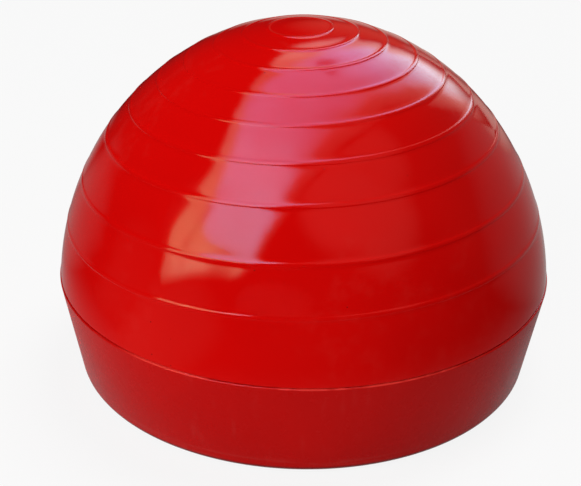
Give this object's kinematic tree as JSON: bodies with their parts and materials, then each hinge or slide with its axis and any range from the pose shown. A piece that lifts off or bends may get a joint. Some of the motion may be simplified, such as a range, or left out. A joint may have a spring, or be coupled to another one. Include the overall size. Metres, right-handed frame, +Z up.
{
  "type": "half-dome balance trainer",
  "caption": "Air-filled ringed vinyl dome clamped on a stiff tapered base, with a pump well, a pull-out valve plug and rubber feet in its flat underside.",
  "frame": {"origin": "on the floor plane, at the middle of the base", "axes": "+Z up along the dome's axis; the object is round, so +X and +Y are free"},
  "size_m": [0.5, 0.5, 0.3558],
  "materials": {
    "dome_vinyl": "glossy soft vinyl",
    "base_plastic": "satin moulded",
    "valve_vinyl": "milky soft vinyl",
    "plug_plastic": "moulded",
    "deck_plywood": "sanded, unpainted",
    "screw_steel": "zinc plated",
    "foot_rubber": "matt"
  },
  "bodies": {
    "trainer": {"dome_skin": "dome_vinyl", "chamber_floor": "dome_vinyl", "valve_seat": "valve_vinyl", "support_deck": "deck_plywood", "base_pan": "base_plastic", "deck_screw_1": "screw_steel", "deck_screw_2": "screw_steel", "deck_screw_3": "screw_steel", "deck_screw_4": "screw_steel", "deck_screw_5": "screw_steel", "deck_screw_6": "screw_steel", "deck_screw_7": "screw_steel", "deck_screw_8": "screw_steel", "rubber_foot_1": "foot_rubber", "rubber_foot_2": "foot_rubber", "rubber_foot_3": "foot_rubber", "rubber_foot_4": "foot_rubber", "rubber_foot_5": "foot_rubber", "rubber_foot_6": "foot_rubber", "rubber_foot_7": "foot_rubber", "rubber_foot_8": "foot_rubber"},
    "plug": {"valve_plug": "plug_plastic"}
  },
  "joints": [
    {"name": "plug_pull", "type": "slide", "parent": "trainer", "child": "plug", "axis": [0, 0, -1], "range_m": [0, 0.105]}
  ]
}
